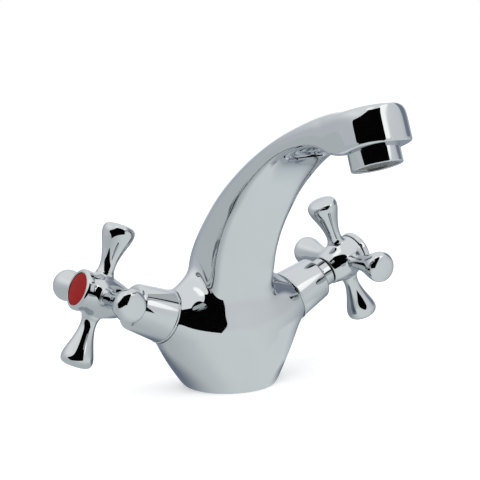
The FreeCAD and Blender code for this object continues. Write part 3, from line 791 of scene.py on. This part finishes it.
def grow_arm(bm, sizes, quarter):
    """Opens the hub at one side and extrudes a trumpet arm with a domed knob out of it."""
    angle = whole_turn * quarter / arm_count
    out = Vector((math.cos(angle), math.sin(angle), 0))
    aside = Vector((-math.sin(angle), math.cos(angle), 0))
    spot = max(bm.verts, key=lambda vert: vert.co.dot(out) - abs(vert.co.z) - abs(vert.co.dot(aside)))
    bmesh.ops.delete(bm, geom=[spot], context="VERTS")
    rim = [edge for edge in bm.edges if edge.is_boundary]
    step = whole_turn / arm_spokes
    grow = 3 / (2 + math.cos(step))
    rings = [(sizes.hub_radius * along, sizes.waist_radius * waist) for along, waist in arm_root_shares]
    for along, waist, knob in arm_shares:
        rings.append((along * sizes.arm_reach, waist * sizes.waist_radius + knob * sizes.knob_radius))
    for reach, radius in rings:
        rim, fresh = extrude_rim(bm, rim)
        for vert in fresh:
            turn = round(math.atan2(vert.co.z, vert.co.dot(aside)) / step) * step
            spread_out = (aside * math.cos(turn) + Vector((0, 0, math.sin(turn)))) * radius * grow
            vert.co = out * reach + spread_out
    bmesh.ops.edgeloop_fill(bm, edges=rim)


def handle_cage(sizes):
    """The cage of a cross handle: hub and four arms, round the arms' plane."""
    bm = bmesh.new()
    rings = [circle_points(radius, height, hub_spokes) for radius, height in hub_rings(sizes)]
    first = start_ring(bm, rings[0])
    rim = first
    for ring in rings[1:]:
        rim = grow_ring(bm, rim, ring)
    bmesh.ops.bridge_loops(bm, edges=first + rim)
    for quarter in range(arm_count):
        grow_arm(bm, sizes, quarter)
    return bm


class TAP_OT_handles(bpy.types.Operator):
    """Model the two cross handles, hub and arms in one smooth casting"""

    bl_idname = "tap.handles"
    bl_label = "Cross handles"

    def execute(self, context):
        sizes = context.scene.tap_handle
        lift = Matrix.Translation((0, 0, arm_station(context.scene)))
        for side in valves:
            bm = handle_cage(sizes)
            close_up(bm)
            bm.transform(valve_place(side) @ lift)
            handle = make_object(bm, side + "_cross_handle")
            handle.data.shade_smooth()
            subdivide(handle, handle_levels)
            dress(handle, side + "_handle", "chrome", [side + "_handle"])
        return {"FINISHED"}


class TAP_OT_caps(bpy.types.Operator):
    """Turn the rings on the hub fronts and the coloured discs set in them"""

    bl_idname = "tap.caps"
    bl_label = "Caps and index discs"

    def execute(self, context):
        sizes = context.scene.tap_handle
        back = cap_station(context.scene)
        front = back + sizes.cap_height
        seat = front - sizes.disc_thickness
        rim = sizes.disc_radius + sizes.cap_seam
        edge = front - sizes.disc_crown
        crown = [
            (sizes.disc_radius * share, front - sizes.disc_crown * drop) for share, drop in disc_crown_shares
        ]
        for side in valves:
            bm = turned(
                [
                    (0, back), (sizes.cap_radius, back), (sizes.cap_radius, front), (rim, front), (rim, seat),
                    (0, seat),
                ],
                {1: sizes.cap_seam, 2: sizes.cap_round, 3: sizes.cap_seam},
            )
            bm.transform(valve_place(side))
            ring = make_object(bm, side + "_cap_ring")
            smooth(ring, cap_smooth_angle)
            dress(ring, side + "_handle", "chrome", [side + "_handle_cap"])
            bm = turned(
                [(0, seat), (sizes.disc_radius, seat), (sizes.disc_radius, edge), *crown, (0, front)],
                {2: sizes.cap_seam},
            )
            bm.transform(valve_place(side))
            disc = make_object(bm, side + "_colour_disc")
            smooth(disc, cap_smooth_angle)
            slot = {"hot": "red_index", "cold": "blue_index"}[side]
            dress(disc, side + "_handle", slot, [side + "_index_disc"])
        return {"FINISHED"}


class TAP_OT_outlet(bpy.types.Operator):
    """Turn the collar of the aerator under the spout's tip"""

    bl_idname = "tap.outlet"
    bl_label = "Aerator collar"

    def execute(self, context):
        sizes = context.scene.tap_outlet
        lip = sizes.collar_height - sizes.lip_height
        bm = turned(
            [
                (sizes.collar_bore, 0), (sizes.collar_radius, 0), (sizes.collar_radius, sizes.collar_height),
                (sizes.mouth_radius, sizes.collar_height), (sizes.mouth_radius, lip),
                (sizes.collar_bore, lip),
            ],
            {2: sizes.collar_round, 3: sizes.collar_round * mouth_round_share},
        )
        bm.transform(outlet_place(context.scene.tap_casting))
        collar = make_object(bm, "outlet_collar")
        smooth(collar, casting_smooth_angle)
        dress(collar, "tap", "chrome", ["aerator_collar"])
        return {"FINISHED"}


class TAP_OT_inner_parts(bpy.types.Operator):
    """Finish the valves, seals and screws that the frame already holds"""

    bl_idname = "tap.inner_parts"
    bl_label = "Inner parts"

    def execute(self, context):
        by_slot = finishes()
        for subpart in frame["record"]["subparts"]:
            node = frame["nodes"][subpart["node"]]
            if node.hide_render:
                continue
            node.data.materials.clear()
            node.data.materials.append(by_slot[subpart["material_slot"]])
        return {"FINISHED"}


# Stage

camera_turn = math.radians(-33.09)
camera_rise = math.radians(9.43)
camera_roll = math.radians(-1.54)
camera_distance = 0.71055
camera_lens = 102.44
camera_nearest = 0.05
camera_farthest = 50
camera_target = Vector((0, -0.01359, 0.07904))
# Soft light
ambient_light = 0.8
softbox_size = 0.6
softbox_power = 3.0
softbox_place = Vector((-0.43, -0.43, 1.15))
floor_size = 8.0
floor_lift = 0.34
floor_grain = 6
floor_detail = 2
floor_contrast = 0.01
floor_roughness = 0.9
# Tent and its sheet on the floor. The cloth is graded between two colours: a plain share of the way to
# the paler one, then for each direction the cosines where its lobe starts and is full, and what it adds.
# A spot on the sheet has the distances where it starts and is full, and what it adds: the darker spots are painted
# shadow of the tap round its base, and the paler one is painted light.
cloth_steps = 64
tent_outline = [(2.1, 0.0), (2.1, 0.75), (1.95, 1.4), (1.6, 2.1), (1.05, 2.55), (0.45, 2.78), (0.0, 2.82)]
tent_colours = ((0.25, 0.29, 0.36), (1.08, 1.1, 1.1))
tent_share = 0.4
tent_most = 2.0
# The tent glows for reflections only and lights nothing, so the last two lobes are painted highlights on the
# chrome
tent_lobes = (
    ((0, 0, 1), 0.1, 0.75, 0.6),
    ((0.43, -0.75, -0.5), 0.42, 0.87, 0.41),
    ((-0.95, 0.3, 0), 0.4, 0.95, 0.17),
    ((0.5, 0.86, 0.09), 0.9, 0.98, 0.45),
    ((0.9, 0, 0.44), 0.92, 0.98, -0.85),
    ((-0.19, -0.32, 0.93), 0.98, 0.997, 0.6),
    ((0.376, -0.739, 0.559), 0.966, 0.985, 0.75),
)
sheet_height = 0.0005
sheet_colours = ((0.17, 0.2, 0.26), (0.92, 0.975, 0.97))
sheet_share = 0.25
sheet_most = 1.0
sheet_lobes = (((0.2, -0.98, 0), -0.2, 0.95, 0.75), ((-0.86, 0.51, 0), 0.1, 0.95, 0.4))
# Painted shade on the sheet: two darker spots round the base stand in for the tap's shadow on the floor in
# reflections, and one paler spot beside them is painted light
sheet_shadow_and_light_spots = (
    ((0.07, -0.03, 0), 0.07, 0.03, 0.3),
    ((-0.02, 0.025, 0), 0.045, 0.02, -0.6),
    ((0.025, 0, 0), 0.03, 0.012, -0.8),
)
# Black drape on the camera's side, with its turns from the front towards +X. Its upper edge falls towards
# its first end, and its lower edge is drawn in to the foot.
drape_black = (0.002, 0.002, 0.002)
drape_segments = 16
drape_distance = 1.35
drape_high = 2.15
drape_fall = 2.0
drape_foot = 0.5
drape_foot_share = 0.88
drape_foot_edge = -0.99
drape_end_rounding = 0.9
drape_roundings = (0.6, 1.6)
drape_first = math.radians(-95)
drape_last = math.radians(23)


def set_camera():
    """Puts the camera where the photograph was taken from."""
    back = Vector((
        math.sin(camera_turn) * math.cos(camera_rise),
        -math.cos(camera_turn) * math.cos(camera_rise),
        math.sin(camera_rise),
    ))
    lens = bpy.data.cameras.new("photo_camera")
    lens.lens = camera_lens
    lens.clip_start = camera_nearest
    lens.clip_end = camera_farthest
    camera = bpy.data.objects.new("photo_camera", lens)
    camera.rotation_mode = "QUATERNION"
    camera.location = camera_target + back * camera_distance
    camera.rotation_quaternion = back.to_track_quat("Z", "Y") @ Quaternion((0, 0, 1), camera_roll)
    bpy.context.scene.collection.objects.link(camera)
    bpy.context.scene.camera = camera


def set_world():
    """A white surround for the eye and for reflections, and a softer one for light."""
    world = bpy.data.worlds.new("studio")
    bpy.context.scene.world = world
    world.use_nodes = True
    tree = world.node_tree
    level = tree.nodes.new("ShaderNodeMapRange")
    level.inputs["To Min"].default_value = ambient_light
    level.inputs["To Max"].default_value = 1.0
    tree.links.new(seen_rays(tree), level.inputs["Value"])
    sky = tree.nodes["Background"]
    sky.inputs["Color"].default_value = (1, 1, 1, 1)
    tree.links.new(level.outputs["Result"], sky.inputs["Strength"])


def add_softbox():
    """One wide soft lamp over the tap."""
    lamp = bpy.data.lights.new("softbox", "AREA")
    lamp.shape = "SQUARE"
    lamp.size = softbox_size
    lamp.energy = softbox_power
    box = bpy.data.objects.new("softbox", lamp)
    box.location = softbox_place
    box.visible_glossy = False
    box.rotation_mode = "QUATERNION"
    box.rotation_quaternion = (box.location - camera_target).to_track_quat("Z", "Y")
    bpy.context.scene.collection.objects.link(box)


def seen_rays(tree):
    """One for rays that the eye, a mirror or glass sends out, and zero for the rest."""
    path = tree.nodes.new("ShaderNodeLightPath")
    seen = path.outputs["Is Camera Ray"]
    for ray in ("Is Glossy Ray", "Is Transmission Ray"):
        either = tree.nodes.new("ShaderNodeMath")
        either.operation = "MAXIMUM"
        tree.links.new(seen, either.inputs[0])
        tree.links.new(path.outputs[ray], either.inputs[1])
        seen = either.outputs["Value"]
    return seen


def add_floor():
    """A pale floor that keeps the tap's shadow and fades into the white surround."""
    bm = bmesh.new()
    bmesh.ops.create_grid(bm, x_segments=1, y_segments=1, size=floor_size)
    floor = make_object(bm, "floor")
    material, shader, place = new_material("studio_floor")
    tree = material.node_tree
    base = bpy.context.scene.tap_colours.floor
    shade = noise(tree, place, floor_grain, floor_detail)
    shaded = tint(tree, shade, base, 1 - floor_contrast, 1 + floor_contrast)
    tree.links.new(shaded, shader.inputs["Base Color"])
    shader.inputs["Roughness"].default_value = floor_roughness
    shader.inputs["Emission Color"].default_value = (1, 1, 1, 1)
    lift = tree.nodes.new("ShaderNodeMath")
    lift.operation = "MULTIPLY"
    lift.inputs[1].default_value = floor_lift
    tree.links.new(seen_rays(tree), lift.inputs[0])
    tree.links.new(lift.outputs["Value"], shader.inputs["Emission Strength"])
    floor.data.materials.append(material)


def reflected_only(card):
    """Leaves a stage card to reflections, so that it neither shades the tap nor shows behind it."""
    card.visible_camera = False
    card.visible_diffuse = False
    card.visible_shadow = False


def graded(tree, value, start, full, share):
    """A smooth step of a value, scaled to a share."""
    node = tree.nodes.new("ShaderNodeMapRange")
    node.interpolation_type = "SMOOTHSTEP"
    node.inputs["From Min"].default_value = start
    node.inputs["From Max"].default_value = full
    node.inputs["To Max"].default_value = share
    tree.links.new(value, node.inputs["Value"])
    return node.outputs["Result"]


def glow(name, colours, share, most, lobes, spots=()):
    """A glowing cloth between two colours, graded by direction and by nearness to spots, which paint shade and
    light onto it.
    """
    material = bpy.data.materials.new(name)
    material.use_nodes = True
    tree = material.node_tree
    tree.nodes.remove(tree.nodes["Principled BSDF"])
    place = tree.nodes.new("ShaderNodeTexCoord").outputs["Object"]
    unit = tree.nodes.new("ShaderNodeVectorMath")
    unit.operation = "NORMALIZE"
    tree.links.new(place, unit.inputs[0])
    parts = []
    for operation, source, rows in (
        ("DOT_PRODUCT", unit.outputs["Vector"], lobes), ("DISTANCE", place, spots)
    ):
        for point, start, full, added in rows:
            measure = tree.nodes.new("ShaderNodeVectorMath")
            measure.operation = operation
            measure.inputs[1].default_value = point
            tree.links.new(source, measure.inputs[0])
            parts.append(graded(tree, measure.outputs["Value"], start, full, added))
    total = share
    for part in parts:
        both = tree.nodes.new("ShaderNodeMath")
        if total is share:
            both.inputs[0].default_value = share
        else:
            tree.links.new(total, both.inputs[0])
        tree.links.new(part, both.inputs[1])
        total = both.outputs["Value"]
    limit = tree.nodes.new("ShaderNodeClamp")
    limit.inputs["Max"].default_value = most
    tree.links.new(total, limit.inputs["Value"])
    mix = tree.nodes.new("ShaderNodeMix")
    mix.data_type = "RGBA"
    mix.clamp_factor = False
    mix.inputs["A"].default_value = (*colours[0], 1)
    mix.inputs["B"].default_value = (*colours[1], 1)
    tree.links.new(limit.outputs["Result"], mix.inputs["Factor"])
    light = tree.nodes.new("ShaderNodeEmission")
    tree.links.new(mix.outputs["Result"], light.inputs["Color"])
    tree.links.new(light.outputs["Emission"], tree.nodes["Material Output"].inputs["Surface"])
    return material


def spun_cloth(name, outline):
    """Cloth made by turning an open outline of radius and height about +Z."""
    bm = bmesh.new()
    corners = [bm.verts.new((0, -radius, height)) for radius, height in outline]
    for low, high in zip(corners, corners[1:]):
        bm.edges.new((low, high))
    bmesh.ops.spin(
        bm, geom=bm.verts[:] + bm.edges[:], cent=(0, 0, 0), axis=(0, 0, 1), angle=whole_turn,
        steps=cloth_steps, use_merge=True
    )
    return make_object(bm, name)


def bent_card(name):
    """A card with a rounded outline, bent round the tap."""
    bm = bmesh.new()
    half_turn = (drape_last - drape_first) / 2
    bmesh.ops.create_grid(bm, x_segments=drape_segments, y_segments=drape_segments, size=1)
    for vert in bm.verts:
        across, up = vert.co.xy
        rounding = drape_roundings[up > 0] if across > 0 else drape_end_rounding
        along = across * math.sqrt(1 - rounding / 2 * up ** 2)
        rise = up * math.sqrt(1 - rounding / 2 * across ** 2)
        distance = drape_distance
        fall = 1 + drape_fall * max(-across, 0)
        height = sheet_height + (rise + 1) * drape_high / 2 / fall
        if up <= drape_foot_edge:
            along *= drape_foot_share
            distance = drape_foot
            height = sheet_height * 2
        turn = (drape_first + drape_last) / 2 + along * half_turn
        vert.co = (distance * math.sin(turn), -distance * math.cos(turn), height)
    return make_object(bm, name)


def add_tent():
    """A pale tent round the tap, its sheet on the floor with painted shadow round the base, and the black drape on
    the camera's side.
    """
    tent = spun_cloth("light_tent", tent_outline)
    tent.data.materials.append(glow("tent_cloth", tent_colours, tent_share, tent_most, tent_lobes))
    sheet = spun_cloth("tent_sheet", [(0, sheet_height), (tent_outline[0][0], sheet_height)])
    # The sheet's spots paint the tap's shadow round its base, and a paler patch beside it, into reflections
    sheet.data.materials.append(
        glow("sheet_cloth", sheet_colours, sheet_share, sheet_most, sheet_lobes, sheet_shadow_and_light_spots)
    )
    drape = bent_card("black_drape")
    cloth = grained(
        "black_cloth", drape_black, grain=200, metallic=0.0, roughness=(0.9, 1.0), bump_height=0.0005
    )
    cloth.node_tree.nodes["Principled BSDF"].inputs["Specular IOR Level"].default_value = 0
    drape.data.materials.append(cloth)
    for card in (tent, sheet, drape):
        reflected_only(card)


class TAP_OT_stage(bpy.types.Operator):
    """Set up the camera, the pale floor and the soft studio light"""

    bl_idname = "tap.stage"
    bl_label = "Stage"

    def execute(self, context):
        context.scene.view_settings.view_transform = "Standard"
        set_camera()
        set_world()
        add_softbox()
        add_floor()
        add_tent()
        return {"FINISHED"}


class TAP_PT_pieces(bpy.types.Panel):
    """Sizes, colours and build steps of the tap"""

    bl_idname = "TAP_PT_pieces"
    bl_label = "Basin mixer tap"
    bl_space_type = "VIEW_3D"
    bl_region_type = "UI"
    bl_category = "Tap"

    def draw(self, context):
        for group, kind in size_groups.items():
            box = self.layout.box()
            for name in kind.__annotations__:
                box.prop(getattr(context.scene, group), name)
        for step in build_steps:
            self.layout.operator(step.bl_idname)


build_steps = (
    TAP_OT_casting, TAP_OT_shrouds, TAP_OT_handles, TAP_OT_caps, TAP_OT_outlet, TAP_OT_inner_parts,
    TAP_OT_stage,
)
size_groups = {
    "tap_casting": CastingSizes,
    "tap_handle": HandleSizes,
    "tap_outlet": OutletSizes,
    "tap_colours": FinishColours,
}


def register():
    for name, group in size_groups.items():
        bpy.utils.register_class(group)
        setattr(bpy.types.Scene, name, bpy.props.PointerProperty(type=group))
    for item in (*build_steps, TAP_PT_pieces):
        bpy.utils.register_class(item)


def unregister():
    for item in (*build_steps, TAP_PT_pieces):
        bpy.utils.unregister_class(item)
    for name, group in size_groups.items():
        delattr(bpy.types.Scene, name)
        bpy.utils.unregister_class(group)


def main():
    register()
    bpy.ops.tap.casting()
    bpy.ops.tap.shrouds()
    bpy.ops.tap.handles()
    bpy.ops.tap.caps()
    bpy.ops.tap.outlet()
    bpy.ops.tap.inner_parts()
    bpy.ops.tap.stage()


if __name__ == "__main__":
    main()
